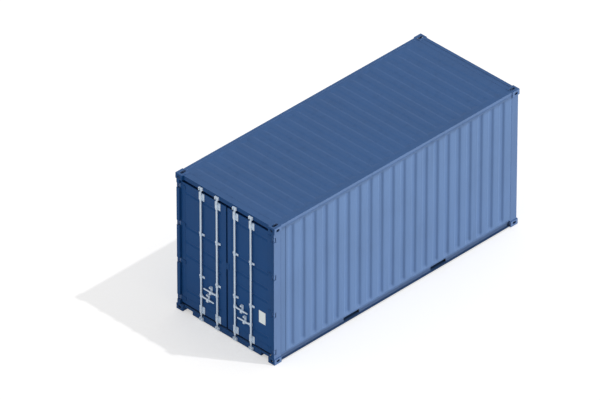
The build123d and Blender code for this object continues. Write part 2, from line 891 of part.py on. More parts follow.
# Handle retainers: a back plate, a shelf under the handle and a catch over it
catch_low = handle_height / 2 + catch_gap
catch_high = retainer_rise + retainer_height / 2
with BuildPart() as retainers:
    for bar_x, handle_z, hand in right_bars:
        x = bar_x + hand * retainer_from_bar
        shelf_top = handle_z - handle_height / 2 - shelf_gap
        front = leaf_face + retainer_plate + shelf_reach / 2
        with Locations((x, -(leaf_face + retainer_plate / 2), handle_z + retainer_rise)):
            Box(retainer_width, retainer_plate, retainer_height)
        with Locations((x, -front, shelf_top - shelf_drop / 2)):
            Box(shelf_width, shelf_reach, shelf_drop)
        with Locations((x, -front, handle_z + (catch_low + catch_high) / 2)):
            Box(shelf_width, shelf_reach, catch_high - catch_low)
write_pair(retainers.part, "handle_retainers")

# Overlap plate on the right leaf, short of the left leaf's edge
with BuildPart() as overlap:
    with BuildSketch(Plane.XZ.offset(leaf_face)):
        with Locations((leaf_centre_gap - overlap_past_edge + overlap_width / 2, leaf_low + overlap_rise)):
            Rectangle(overlap_width, overlap_height)
    extrude(amount=overlap_gauge)
write(overlap.part, "overlap_plate")

# Bare data plate on the right leaf
with BuildPart() as data_plate:
    with BuildSketch(Plane.XZ.offset(leaf_face - panel_setback)):
        with Locations((leaf_outer - data_plate_from_side, leaf_low + data_plate_rise)):
            Rectangle(data_plate_width, data_plate_height)
    extrude(amount=data_plate_gauge)
write(data_plate.part, "data_plate")
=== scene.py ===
import json
import math

import bmesh
import bpy
from mathutils import Matrix, Vector


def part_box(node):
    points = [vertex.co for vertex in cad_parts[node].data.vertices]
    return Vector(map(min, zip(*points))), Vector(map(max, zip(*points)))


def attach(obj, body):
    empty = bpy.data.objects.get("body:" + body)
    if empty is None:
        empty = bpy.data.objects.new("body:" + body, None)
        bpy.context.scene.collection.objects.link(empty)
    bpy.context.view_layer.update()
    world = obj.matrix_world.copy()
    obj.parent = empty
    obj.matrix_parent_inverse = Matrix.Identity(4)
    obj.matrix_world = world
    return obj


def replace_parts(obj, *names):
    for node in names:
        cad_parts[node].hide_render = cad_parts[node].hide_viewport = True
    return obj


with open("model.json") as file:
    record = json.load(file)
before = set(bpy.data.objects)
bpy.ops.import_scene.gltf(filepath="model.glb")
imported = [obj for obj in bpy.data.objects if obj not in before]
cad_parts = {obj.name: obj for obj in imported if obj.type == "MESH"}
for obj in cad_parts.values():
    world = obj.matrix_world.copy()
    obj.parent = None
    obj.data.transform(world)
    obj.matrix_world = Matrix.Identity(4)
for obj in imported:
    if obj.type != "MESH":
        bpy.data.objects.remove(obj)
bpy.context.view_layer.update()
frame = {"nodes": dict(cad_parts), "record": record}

scene = bpy.context.scene
nodes = frame["nodes"]

FORWARD, BACKWARD, UPWARD = (0, -1, 0), (0, 1, 0), (0, 0, 1)


def corners(node):
    """Lowest and highest corners of a node of the part at rest, to the micrometre."""
    low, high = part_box(node)
    return [round(value, 6) for value in low], [round(value, 6) for value in high]


def middle(node):
    """Middle of a node's box at rest, to the micrometre."""
    return [round((a + b) / 2, 6) for a, b in zip(*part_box(node))]


def bar_and_handle(number):
    """A lock bar's place across, its handle's height and the way its handle points."""
    x = middle(f"lock_bar_{number}")[0]
    handle_x, _, handle_z = middle(f"bar_handle_{number}")
    return x, handle_z, 1 if handle_x > x else -1


# Places and sizes of the part's solids, in metres, as the frame gives them
end_posts_low, end_posts_high = corners("closed_end_posts")
side_walls_low, side_walls_high = corners("side_walls")
SIDE_FACE, CLOSED_FACE, TOP_CASTING_LOW = end_posts_high
CASTING_HEIGHT = end_posts_low[2]
CASTING_INNER_X = corners("closed_end_wall")[1][0]
CASTING_INNER_Y = side_walls_high[1]
WALL_LENGTH, END_LENGTH = 2 * CASTING_INNER_Y, 2 * CASTING_INNER_X
WALL_LOW, WALL_HIGH = side_walls_low[2], side_walls_high[2]
WALL_MIDDLE = (WALL_LOW + WALL_HIGH) / 2
ROOF_EDGE, _, ROOF_TOP = corners("roof")[1]
FLOOR_TOP = corners("floor")[1][2]
LEAF_FACE = corners("door_frame_left")[0][1]
MEMBERS_END = corners("cross_members")[1][1]
POCKET_FAR = corners("fork_pocket_tops")[1][1]
BARS = [bar_and_handle(number) for number in (1, 2, 3, 4)]

# Two places that no box gives: the door posts' inner faces and the pockets' near walls
POST_INNER, POCKET_NEAR = 1.131, 0.890


def is_pair(value):
    """True for a (node, socket) pair, which stands for what that socket gives."""
    return isinstance(value, tuple) and isinstance(value[0], bpy.types.Node)


class Graph:
    """An empty node tree with short helpers."""

    def __init__(self, owner):
        owner.use_nodes = True
        self.tree = owner.node_tree
        self.tree.nodes.clear()

    def add(self, kind, **values):
        node = self.tree.nodes.new(kind)
        for key, value in values.items():
            setattr(node, key, value)
        return node

    def link(self, a, out, b, into):
        self.tree.links.new(a.outputs[out], b.inputs[into])

    def plug(self, value, node, into):
        """Links a pair into a socket, or sets the socket to a plain value."""
        if is_pair(value):
            self.link(*value, node, into)
        else:
            node.inputs[into].default_value = value

    def math(self, operation, a, b):
        node = self.add("ShaderNodeMath", operation=operation)
        self.plug(a, node, 0)
        self.plug(b, node, 1)
        return node, 0

    def either(self, share, a, b):
        """Shader that is a where the share is 0 and b where it is 1."""
        node = self.add("ShaderNodeMixShader")
        self.plug(share, node, 0)
        self.link(a, 0, node, 1)
        self.link(b, 0, node, 2)
        return node


class Shader(Graph):
    """A material with its principled shader and helpers for its maps."""

    def __init__(self, name):
        self.mat = bpy.data.materials.new(name)
        super().__init__(self.mat)
        out = self.add("ShaderNodeOutputMaterial")
        self.bsdf = self.add("ShaderNodeBsdfPrincipled")
        self.link(self.bsdf, "BSDF", out, "Surface")
        self.coord = self.add("ShaderNodeTexCoord")

    def noise(self, scale, detail=3.0, rough=0.55, stretch=(1, 1, 1)):
        """Noise over the part's own metres, stretched along each axis."""
        mapping = self.add("ShaderNodeMapping")
        mapping.inputs["Scale"].default_value = stretch
        self.link(self.coord, "Object", mapping, "Vector")
        node = self.add("ShaderNodeTexNoise")
        node.inputs["Scale"].default_value = scale
        node.inputs["Detail"].default_value = detail
        node.inputs["Roughness"].default_value = rough
        self.link(mapping, "Vector", node, "Vector")
        return node, 0

    def ramp(self, pair, low, high, a=0.0, b=1.0):
        """Maps a value from low..high to a..b, held at the ends."""
        node = self.add("ShaderNodeMapRange")
        node.inputs["From Min"].default_value = low
        node.inputs["From Max"].default_value = high
        node.inputs["To Min"].default_value = a
        node.inputs["To Max"].default_value = b
        self.plug(pair, node, "Value")
        return node, 0

    def mix(self, share, a, b):
        """Colour mix of two colours or pairs."""
        node = self.add("ShaderNodeMix", data_type="RGBA")
        self.plug(share, node, 0)
        self.plug(a if is_pair(a) else (*a, 1), node, 6)
        self.plug(b if is_pair(b) else (*b, 1), node, 7)
        return node, 2

    def scale(self, colour, factor):
        """A colour times a factor."""
        node = self.add("ShaderNodeVectorMath", operation="SCALE")
        self.plug(colour, node, 0)
        self.plug(factor, node, "Scale")
        return node, 0

    def product(self, first, *rest):
        """The pairs and numbers multiplied together."""
        for pair in rest:
            first = self.math("MULTIPLY", first, pair)
        return first

    def surface(self, colour, roughness, metallic=0.0, specular=0.5):
        """Sets the principled shader's main sockets."""
        self.plug(colour, self.bsdf, "Base Color")
        self.plug(roughness, self.bsdf, "Roughness")
        self.bsdf.inputs["Metallic"].default_value = metallic
        self.bsdf.inputs["Specular IOR Level"].default_value = specular

    def bump(self, *layers, round_edge=0.0):
        """Layers are (height pair, strength, distance in metres)."""
        last = None
        if round_edge:
            last = self.add("ShaderNodeBevel", samples=4)
            last.inputs["Radius"].default_value = round_edge
        for pair, strength, distance in layers:
            node = self.add("ShaderNodeBump")
            node.inputs["Strength"].default_value = strength
            node.inputs["Distance"].default_value = distance
            self.plug(pair, node, "Height")
            if last:
                self.link(last, "Normal", node, "Normal")
            last = node
        self.link(last, "Normal", self.bsdf, "Normal")

    def edges(self, radius):
        """1 on the outer and inner edges of the mesh, 0 on its faces."""
        bevel = self.add("ShaderNodeBevel", samples=4)
        bevel.inputs["Radius"].default_value = radius
        geometry = self.add("ShaderNodeNewGeometry")
        dot = self.add("ShaderNodeVectorMath", operation="DOT_PRODUCT")
        self.link(bevel, "Normal", dot, 0)
        self.link(geometry, "Normal", dot, 1)
        return self.ramp((dot, "Value"), 0.995, 0.90)

    def part_of(self, vector, name):
        """One component of a vector that the surface knows."""
        split = self.add("ShaderNodeSeparateXYZ")
        self.link(self.coord, vector, split, "Vector")
        return split, name

    def axis(self, name):
        """One of the part's own coordinates, in metres."""
        return self.part_of("Object", name)

    def normal(self, name):
        """One component of the surface's own normal."""
        return self.part_of("Normal", name)

    def within(self, name, half, fade):
        """1 up to half a width from the part's middle, fading to 0 past it."""
        return self.ramp(self.math("ABSOLUTE", self.axis(name), 0), half + fade, half)


def shade(colour, factor):
    """A plain colour times a factor."""
    return tuple(c * factor for c in colour)


# Where the painted shade and the dust start and end, in metres: from and to along an axis
FOREMOST = (-3.004, -3.010)
DOORWAY = (-2.92, -2.95)
RAIL_FOOT = (0.108, 0.070)
SPLASH = (0.45, 0.0)

# The same by the surface's normal, for the painted shade and the painted highlight: from and to
TOWARD_DOORS = (-0.3, -0.8)
TOWARD_SKY = (0.3, 0.8)
SLOPE_TO_DOORS = (-0.05, -0.15)

# How far the painted shade reaches into gaps, how far edges wear, and the radius at which edges look
# rounded, in metres
GAP_REACH, WORN_REACH, EDGE_RADIUS = 0.09, 0.006, 0.004

# How far from a face a painted shade ends, and over what width it fades there, in metres
FACE_MARGIN, FACE_FADE = 0.001, 0.003
SIDE_INSET, SIDE_FADE = 0.009, 0.004

# Noise of the paint: (scale, detail)
PATCHES, STREAKS, SPATTER, CHIPS = (0.9, 4), (9, 3), (14, 5), (42, 4)
DENTS, GRIT = (2.6, 2), (320, 2)

# Strengths of the fading, the dirt and the shine, and the paint's range of roughness
FADE, DIRT, GLOSS = 0.04, 0.10, 0.10
ROUGH_LOW, ROUGH_HIGH = 0.44, 0.56
DUST = (0.13, 0.13, 0.13)
RUST = (0.085, 0.050, 0.035)


def painted_front_shade(s):
    """Mask of the painted shade: 1 on the foremost faces toward the doors and inside the doorway, 0
    elsewhere.
    """
    foremost = s.product(s.ramp(s.normal("Y"), *TOWARD_DOORS), s.ramp(s.axis("Y"), *FOREMOST))
    doorway = s.product(s.ramp(s.axis("Y"), *DOORWAY), s.within("X", POST_INNER + FACE_MARGIN, FACE_FADE))
    return s.math("MAXIMUM", foremost, doorway)


def weathered(s, patches):
    """Brightness of the paint: slow fading with faint streaks down the sides."""
    wash = s.ramp(patches, 0.32, 0.68, 1 - FADE, 1 + FADE)
    streaks = s.noise(*STREAKS, stretch=(1, 1, 0.05))
    return s.product(wash, s.ramp(streaks, 0.52, 0.78, 1, 1 - DIRT))


def painted_gap_shade(s, level, share):
    """Paints shade where a surface sees little open sky, as in narrow crevices, but not on the outer
    faces of the sides.
    """
    open_sky = s.add("ShaderNodeAmbientOcclusion", samples=6)
    open_sky.inputs["Distance"].default_value = GAP_REACH
    closed = s.ramp((open_sky, "AO"), 0.50, 0.10, 0, share)
    closed = s.product(closed, s.within("X", SIDE_FACE - SIDE_INSET, SIDE_FADE))
    return s.product(level, s.math("SUBTRACT", 1.0, closed))


def painted_foot_shade(s, level, share):
    """Paints shade on the bottom rails, darker downward between the castings."""
    low_down = s.ramp(s.axis("Z"), *RAIL_FOOT, 0, share)
    shaded_low = s.product(low_down, s.within("Y", CASTING_INNER_Y - FACE_MARGIN, FACE_FADE))
    return s.product(level, s.math("SUBTRACT", 1.0, shaded_low))


def paint(name, colour, front_shade=None, top=None, shade_bands=(), gap_shade=0.0, slope_highlight=0.0, foot=0.0, rust=0.15):
    """Enamel on steel: slow fading, faint rain streaks, dust low down, worn edges, and where asked
    painted shade and a painted highlight.
    """
    s = Shader(name)
    # Painted shade: the faces toward the doors, inside the doorway and toward the sky may have deeper
    # tones
    tone = colour
    if front_shade:
        tone = s.mix(painted_front_shade(s), tone, front_shade)
    if top:
        tone = s.mix(s.ramp(s.normal("Z"), *TOWARD_SKY), tone, top)
    patches = s.noise(*PATCHES)
    level = weathered(s, patches)
    # A painted highlight may brighten the slopes toward the doors
    if slope_highlight:
        level = s.product(level, s.ramp(s.normal("Y"), *SLOPE_TO_DOORS, 1, slope_highlight))
    # Each band of painted shade is (axis, from, to, tone) over the part's own metres
    for axis, start, end, share in shade_bands:
        level = s.product(level, s.ramp(s.axis(axis), start, end, 1, share))
    # Painted shade in narrow gaps
    if gap_shade:
        level = painted_gap_shade(s, level, gap_shade)
    # Painted shade on the bottom rails
    if foot:
        level = painted_foot_shade(s, level, foot)
    base = s.scale(tone, level)
    spatter = s.ramp(s.noise(*SPATTER), 0.4, 0.75)
    base = s.mix(s.product(s.ramp(s.axis("Z"), *SPLASH), spatter, DIRT), base, DUST)
    chips = s.ramp(s.noise(*CHIPS), 0.60, 0.66)
    worn = s.product(s.edges(WORN_REACH), chips, rust)
    base = s.mix(worn, base, RUST)
    rough = s.math("ADD", s.ramp(patches, 0.3, 0.7, ROUGH_LOW, ROUGH_HIGH), worn)
    s.surface(base, rough, specular=GLOSS)
    dents = (s.noise(*DENTS), 0.15, 0.003)
    grit = (s.noise(*GRIT), 0.05, 0.001)
    s.bump(dents, grit, round_edge=EDGE_RADIUS)
    return s.mat


# Noise of the other surfaces: (scale, detail) and, for the grain, its roughness
SPANGLE_SCALE = 90
WHITE_RUST, ZINC_GRIT = (16, 4), (240, 3)
CHALK, PORES = (30, 5), (180, 4)
GRAIN, SCUFFS = (7, 6, 0.65), (2.4, 6)
ROAD_DUST, LUMPS = (5, 6), (60, 4)
BRUSHING = (60, 3)


def galvanised(name, colour, bloom):
    """Zinc-coated steel: spangle, a pale bloom, a little darker at the edges."""
    s = Shader(name)
    cells = s.add("ShaderNodeTexVoronoi")
    cells.inputs["Scale"].default_value = SPANGLE_SCALE
    s.link(s.coord, "Object", cells, "Vector")
    tone = s.add("ShaderNodeRGBToBW")
    s.link(cells, "Color", tone, "Color")
    base = s.mix(s.ramp((tone, 0), 0.2, 0.8), shade(colour, 0.92), colour)
    base = s.mix(s.ramp(s.noise(*WHITE_RUST), 0.58, 0.8, 0, 0.35), base, bloom)
    base = s.mix(s.product(s.edges(0.003), 0.10), base, shade(colour, 0.55))
    s.surface(base, s.ramp((tone, 0), 0.1, 0.9, 0.36, 0.52), metallic=0.1)
    s.bump(((cells, "Distance"), 0.08, 0.001), (s.noise(*ZINC_GRIT), 0.06, 0.001))
    return s.mat


def rubber(name, dark, pale):
    """Black door seal, chalky where the weather reaches it."""
    s = Shader(name)
    base = s.mix(s.ramp(s.noise(*CHALK), 0.4, 0.75), dark, pale)
    s.surface(base, 0.8, specular=0.02)
    s.bump((s.noise(*PORES), 0.15, 0.001))
    return s.mat


# Width and length of the floor's boards, and how far a seam reaches into a board
BOARD_WIDTH, BOARD_LENGTH, SEAM = 0.58, 1.426, 0.003
BOARDS_SHIFTED = 50


def board_seams(s):
    """1 on the seams between the floor's boards, 0 on the boards."""
    seams = []
    for name, size in (("X", BOARD_WIDTH), ("Y", BOARD_LENGTH)):
        # Shifted by whole boards, so that it is never negative
        shifted = s.math("ADD", s.axis(name), BOARDS_SHIFTED * size)
        place = s.math("FRACT", s.math("DIVIDE", shifted, size), 0)
        off = s.math("ABSOLUTE", s.math("SUBTRACT", place, 0.5), 0)
        seams.append(s.ramp(off, 0.5 - SEAM / size, 0.5))
    return s.math("MAXIMUM", *seams)


def plywood(name, light, dark, scuffed, seam_dirt):
    """Oiled hardwood ply in boards laid along the box, with seams, grain and scuffs."""
    s = Shader(name)
    grain = s.noise(*GRAIN, stretch=(14, 0.8, 8))
    base = s.mix(s.ramp(grain, 0.35, 0.7), light, dark)
    scuffs = s.noise(*SCUFFS, stretch=(1, 0.35, 1))
    base = s.mix(s.ramp(scuffs, 0.5, 0.8, 0, 0.55), base, scuffed)
    seam = board_seams(s)
    base = s.mix(seam, base, seam_dirt)
    s.surface(base, s.ramp(grain, 0.3, 0.7, 0.5, 0.72))
    s.bump((grain, 0.15, 0.002), (s.math("SUBTRACT", 1.0, seam), 0.8, 0.002))
    return s.mat


def dark_coat(name, black, dust):
    """Black waxy coating under the floor, with road dust."""
    s = Shader(name)
    base = s.mix(s.ramp(s.noise(*ROAD_DUST), 0.42, 0.75, 0, 0.7), black, dust)
    s.surface(base, 0.7)
    s.bump((s.noise(*LUMPS), 0.3, 0.002))
    return s.mat


def bare_plate(name, dull, bright):
    """Blank aluminium plate, brushed sideways and a little dull."""
    s = Shader(name)
    brush = s.noise(*BRUSHING, stretch=(0.4, 1, 30))
    base = s.mix(s.ramp(brush, 0.3, 0.7), dull, bright)
    s.surface(base, s.ramp(brush, 0.3, 0.7, 0.34, 0.46), metallic=0.5)
    s.bump((brush, 0.05, 0.0005))
    return s.mat


# The roof, door and front tones are darker copies of the side's blue, a painted shade
FRAME_BLUE = (0.122, 0.202, 0.380)
WALL_BLUE = (0.135, 0.226, 0.420)
ROOF_SHADE_BLUE = (0.053, 0.123, 0.290)
DOOR_SHADE_BLUE = (0.011, 0.070, 0.223)
FRONT_SHADE_BLUE = (0.008, 0.062, 0.200)
ZINC, ZINC_BLOOM = (0.75, 0.87, 1.0), (0.84, 0.90, 0.96)
SEAL_DARK, SEAL_PALE = (0.001, 0.005, 0.025), (0.002, 0.009, 0.040)
WOOD_LIGHT, WOOD_DARK = (0.30, 0.155, 0.07), (0.17, 0.08, 0.036)
WOOD_SCUFFED, WOOD_SEAM = (0.24, 0.19, 0.15), (0.02, 0.014, 0.01)
COAT_BLACK, COAT_DUST = (0.016, 0.017, 0.02), (0.075, 0.068, 0.06)
PLATE_DULL, PLATE_BRIGHT = (0.69, 0.75, 0.75), (0.77, 0.82, 0.82)

# A painted shadow darkens the walls under the top rail, and painted shade beside the door post
WALL_HEAD_SHADOW = ("Z", 2.740, 2.800, 0.76)
WALL_EDGE_SHADE = ("Y", -2.725, -2.750, 0.90)

# Frame and fittings take a painted shade toward the doors and the sky; frame and doors take painted shade
# in gaps, the frame at its foot, the walls in bands; the roof takes a painted highlight
mats = {
    "frame_paint": paint("frame_paint", FRAME_BLUE, FRONT_SHADE_BLUE, ROOF_SHADE_BLUE, gap_shade=0.85, foot=0.30),
    "panel_paint": paint("panel_paint", WALL_BLUE, shade_bands=[WALL_HEAD_SHADOW, WALL_EDGE_SHADE], rust=0.03),
    "roof_paint": paint("roof_paint", ROOF_SHADE_BLUE, slope_highlight=1.08, rust=0.0),
    "door_paint": paint("door_paint", DOOR_SHADE_BLUE, gap_shade=0.5),
    "fitting_paint": paint("fitting_paint", FRAME_BLUE, FRONT_SHADE_BLUE, ROOF_SHADE_BLUE),
    "galvanised": galvanised("galvanised", ZINC, ZINC_BLOOM),
    "seal_rubber": rubber("seal_rubber", SEAL_DARK, SEAL_PALE),
    "floor_wood": plywood("floor_wood", WOOD_LIGHT, WOOD_DARK, WOOD_SCUFFED, WOOD_SEAM),
    "underframe_paint": dark_coat("underframe_paint", COAT_BLACK, COAT_DUST),
    "plate_metal": bare_plate("plate_metal", PLATE_DULL, PLATE_BRIGHT),
}
for entry in frame["record"]["subparts"]:
    obj = nodes[entry["node"]]
    obj.data.materials.clear()
    obj.data.materials.append(mats[entry["material_slot"]])


def new_piece(name, bm, body, slot, smooth=None):
    """Turns a bmesh into a piece that rides on a body and takes a slot's material."""
    mesh = bpy.data.meshes.new(name)
    bm.to_mesh(mesh)
    bm.free()
    obj = bpy.data.objects.new(name, mesh)
    scene.collection.objects.link(obj)
    mesh.materials.append(mats[slot])
    if smooth:
        mesh.shade_smooth()
        bpy.context.view_layer.objects.active = obj
        mesh.set_sharp_from_angle(angle=math.radians(smooth))
    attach(obj, body)
    return obj


def ring_points(radius, count):
    """Points spaced evenly round a circle."""
    angles = [2 * math.pi * i / count for i in range(count)]
    return [(radius * math.cos(angle), radius * math.sin(angle)) for angle in angles]


def add_lathe(bm, profile, count, place):
    """Stack of rings (radius, height) along local Z, placed by a matrix and closed at both ends."""
    rings = []
    for radius, z in profile:
        points = ring_points(radius, count)
        rings.append([bm.verts.new(place @ Vector((x, y, z))) for x, y in points])
    for a, b in zip(rings, rings[1:]):
        for i in range(count):
            j = (i + 1) % count
            bm.faces.new((a[i], a[j], b[j], b[i]))
    bm.faces.new(rings[-1])
    bm.faces.new(list(reversed(rings[0])))


def facing(direction, point):
    """Matrix that takes local Z to the direction, with its foot at the point."""
    turn = Vector(direction).to_track_quat("Z", "Y").to_matrix().to_4x4()
    return Matrix.Translation(Vector(point)) @ turn


# Bolt and rivet profiles, as shares of the size: (radius, height)
WASHER_SHARES = [(1.25, 0), (1.25, 0.22)]
BOLT_HEAD_SHARES = [(1, 0.22), (1, 0.82), (0.88, 0.95)]
RIVET_SHARES = [(1, 0), (0.92, 0.3), (0.6, 0.5), (0.2, 0.56)]

# How many sides washers, bolt heads, rivets and screws have
WASHER_SIDES, BOLT_SIDES, RIVET_SIDES, SCREW_SIDES = 16, 6, 12, 10

# A weld bead: half width, facets, a step's length, and swells as (share of half width, turn a step)
BEAD_RADIUS, BEAD_SIDES, BEAD_STEP = 0.0035, 5, 0.05
BEAD_SWELLS = [(0.18, 2.4), (0.1, 0.9)]


def sized(shares, size):
    """A profile in metres from its shares of a size."""
    return [(radius * size, height * size) for radius, height in shares]


def add_bolt(bm, point, size):
    """Washer and chamfered hexagon head, on a face toward the doors."""
    place = facing(FORWARD, point)
    add_lathe(bm, sized(WASHER_SHARES, size), WASHER_SIDES, place)
    add_lathe(bm, sized(BOLT_HEAD_SHARES, size), BOLT_SIDES, place)


def add_bead(bm, start, end, up):
    """Weld bead: a low rounded ridge with a slightly uneven height."""
    start, end, up = Vector(start), Vector(end), Vector(up).normalized()
    across = (end - start).normalized().cross(up)
    count = max(2, int((end - start).length / BEAD_STEP))
    last = None
    for k in range(count + 1):
        centre = start.lerp(end, k / count)
        swell = sum(share * math.sin(k * turn) for share, turn in BEAD_SWELLS)
        radius = BEAD_RADIUS * (1 + swell)
        ring = []
        for i in range(BEAD_SIDES + 1):
            angle = math.pi * i / BEAD_SIDES
            offset = across * math.cos(angle) * radius + up * math.sin(angle) * radius
            ring.append(bm.verts.new(centre + offset))
        if last:
            for i in range(BEAD_SIDES):
                bm.faces.new((last[i], last[i + 1], ring[i + 1], ring[i]))
        last = ring


# Pressed walls: the part's own sheets again, with the round bends of a press
GAUGE = 0.002

# The raised field: how far it stands out, and where it starts from the sheet's edges
RISE, FIELD_EDGE = 0.012, 0.002
FIELD_LOW, FIELD_HIGH = WALL_LOW + FIELD_EDGE, WALL_HIGH - FIELD_EDGE
FIELD_FROM_DOOR_POST, FIELD_FROM_CLOSED_POST = 0.104, 0.016

# A groove: its depth, then half its mouth and half its floor, first across and then up
GROOVE_DEPTH = 0.036
GROOVE_HALF, FLOOR_HALF = 0.065, 0.034
RUN_HALF, RUN_FLOOR_HALF = 1.305, 1.253
BEND_RADIUS, BEND_STEPS = 0.048, 4

# How many grooves a sheet has, and its margin before the first mouth
SIDE_GROOVES, SIDE_MARGIN = 20, 0.183
END_GROOVES, END_MARGIN = 8, 0.110

# Bends under this angle in degrees are shaded smooth
SMOOTH_WALL, SMOOTH_BEAD = 40, 50


def bend_profile(half_mouth, half_floor):
    """(distance from the middle, share of the depth) across half a groove with round bends."""
    angle = math.atan2(GROOVE_DEPTH, half_mouth - half_floor)
    tangent = BEND_RADIUS * math.tan(angle / 2)
    floor_bend, mouth_bend = [], []
    for i in range(BEND_STEPS + 1):
        turn = angle * i / BEND_STEPS
        reach = BEND_RADIUS * math.sin(turn)
        drop = BEND_RADIUS * (1 - math.cos(turn)) / GROOVE_DEPTH
        floor_bend.append((half_floor - tangent + reach, 1 - drop))
        mouth_bend.append((half_mouth + tangent - reach, drop))
    return floor_bend + mouth_bend[::-1]


def share_at(profile, distance):
    """Share of the depth at a distance from the middle, between the profile's points."""
    if distance <= profile[0][0]:
        return 1.0
    for (a, share_a), (b, share_b) in zip(profile, profile[1:]):
        if distance <= b:
            return share_a + (share_b - share_a) * (distance - a) / (b - a)
    return 0.0


def step_up(value, start, end):
    """0 outside start..end, 1 within, with slopes as wide as the field is proud."""
    inside = min(value - start, end - value) / RISE
    return max(0.0, min(1.0, inside))


def both_ways(place, profile):
    """The profile's distances, taken to both sides of a place."""
    return {place + way * distance for distance, _ in profile for way in (-1, 1)}


def groove_places(count, length, margin):
    """Places of even grooves, the first and last at a margin from the sheet's ends."""
    pitch = (length - 2 * margin - 2 * GROOVE_HALF) / (count - 1)
    return [pitch * (i - (count - 1) / 2) for i in range(count)]


def sheet_points(along, rows, field, places, across, upward):
    """Lines of (along, up, out) points over a raised field with grooves pressed into it."""
    lines = []
    for u in along:
        groove = share_at(across, min(abs(u - place) for place in places))
        line = []
        for z in rows:
            rise = RISE * min(step_up(u, *field), step_up(z, FIELD_LOW, FIELD_HIGH))
            depth = GROOVE_DEPTH * groove * share_at(upward, abs(z - WALL_MIDDLE))
            line.append((u, z, rise - depth))
        lines.append(line)
    return lines


def add_pressing(bm, length, field, places, put):
    """Corrugated sheet of even gauge; put takes (along, up, out) to the part's metres."""
    across = bend_profile(GROOVE_HALF, FLOOR_HALF)
    upward = bend_profile(RUN_HALF, RUN_FLOOR_HALF)
    along = {-length / 2, length / 2, *field, field[0] + RISE, field[1] - RISE}
    for place in places:
        along |= both_ways(place, across)
    rows = {WALL_LOW, WALL_HIGH, FIELD_LOW, FIELD_HIGH, FIELD_LOW + RISE, FIELD_HIGH - RISE}
    rows |= both_ways(WALL_MIDDLE, upward)
    lines = sheet_points(sorted(along), sorted(rows), field, places, across, upward)
    outer, inner = [], []
    for line in lines:
        outer.append([bm.verts.new(put(*point)) for point in line])
        inner.append([bm.verts.new(put(u, z, out - GAUGE)) for u, z, out in line])
    top = len(rows) - 1
    for grid in (outer, inner):
        for left, right in zip(grid, grid[1:]):
            for k in range(top):
                bm.faces.new((left[k], right[k], right[k + 1], left[k + 1]))
    for a, b in ((outer[0], inner[0]), (outer[-1], inner[-1])):
        for k in range(top):
            bm.faces.new((a[k], a[k + 1], b[k + 1], b[k]))
    for k in (0, -1):
        for i in range(len(lines) - 1):
            bm.faces.new((outer[i][k], outer[i + 1][k], inner[i + 1][k], inner[i][k]))


def wall_piece(name, bm, node):
    """Makes a pressed wall of a bmesh and puts it in the place of the part's own."""
    bmesh.ops.recalc_face_normals(bm, faces=bm.faces)
    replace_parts(new_piece(name, bm, "frame", "panel_paint", smooth=SMOOTH_WALL), node)


bm = bmesh.new()
wall_field = (-WALL_LENGTH / 2 + FIELD_FROM_DOOR_POST, WALL_LENGTH / 2 - FIELD_FROM_CLOSED_POST)
wall_places = groove_places(SIDE_GROOVES, WALL_LENGTH, SIDE_MARGIN)
for side in (-1, 1):
    add_pressing(
        bm,
        WALL_LENGTH,
        wall_field,
        wall_places,
        lambda u, z, out: (side * (SIDE_FACE + out), u, z),
    )
wall_piece("pressed_side_walls", bm, "side_walls")

bm = bmesh.new()
end_field = (-END_LENGTH / 2 + FIELD_FROM_CLOSED_POST, END_LENGTH / 2 - FIELD_FROM_CLOSED_POST)
end_places = groove_places(END_GROOVES, END_LENGTH, END_MARGIN)
add_pressing(bm, END_LENGTH, end_field, end_places, lambda u, z, out: (u, CLOSED_FACE + out, z))
wall_piece("pressed_end_wall", bm, "closed_end_wall")

# Weld beads round the walls and the roof, and at the feet and heads of the posts
bm = bmesh.new()
near, far = -CASTING_INNER_Y, CASTING_INNER_Y
for side in (-1, 1):
    out, x, roof_x = (side, 0, 0), side * SIDE_FACE, side * ROOF_EDGE
    for z in (WALL_LOW, WALL_HIGH):
        add_bead(bm, (x, near, z), (x, far, z), out)
    for y in (near, far):
        add_bead(bm, (x, y, WALL_LOW), (x, y, TOP_CASTING_LOW), out)
    add_bead(bm, (roof_x, near, ROOF_TOP), (roof_x, far, ROOF_TOP), UPWARD)
left, right = -CASTING_INNER_X, CASTING_INNER_X
for x in (left, right):
    add_bead(bm, (x, CLOSED_FACE, WALL_LOW), (x, CLOSED_FACE, TOP_CASTING_LOW), BACKWARD)
for z in (WALL_LOW, WALL_HIGH):
    add_bead(bm, (left, CLOSED_FACE, z), (right, CLOSED_FACE, z), BACKWARD)
for y in (near, far):
    add_bead(bm, (left, y, ROOF_TOP), (right, y, ROOF_TOP), UPWARD)
for side in (-1, 1):
    x, inner_x = side * SIDE_FACE, side * CASTING_INNER_X
    for z in (CASTING_HEIGHT, TOP_CASTING_LOW):
        for y, face_y in ((near, -CLOSED_FACE), (far, CLOSED_FACE)):
            add_bead(bm, (x, y, z), (x, face_y, z), (side, 0, 0))
        add_bead(bm, (inner_x, CLOSED_FACE, z), (x, CLOSED_FACE, z), BACKWARD)
new_piece("weld_beads", bm, "frame", "frame_paint", smooth=SMOOTH_BEAD)

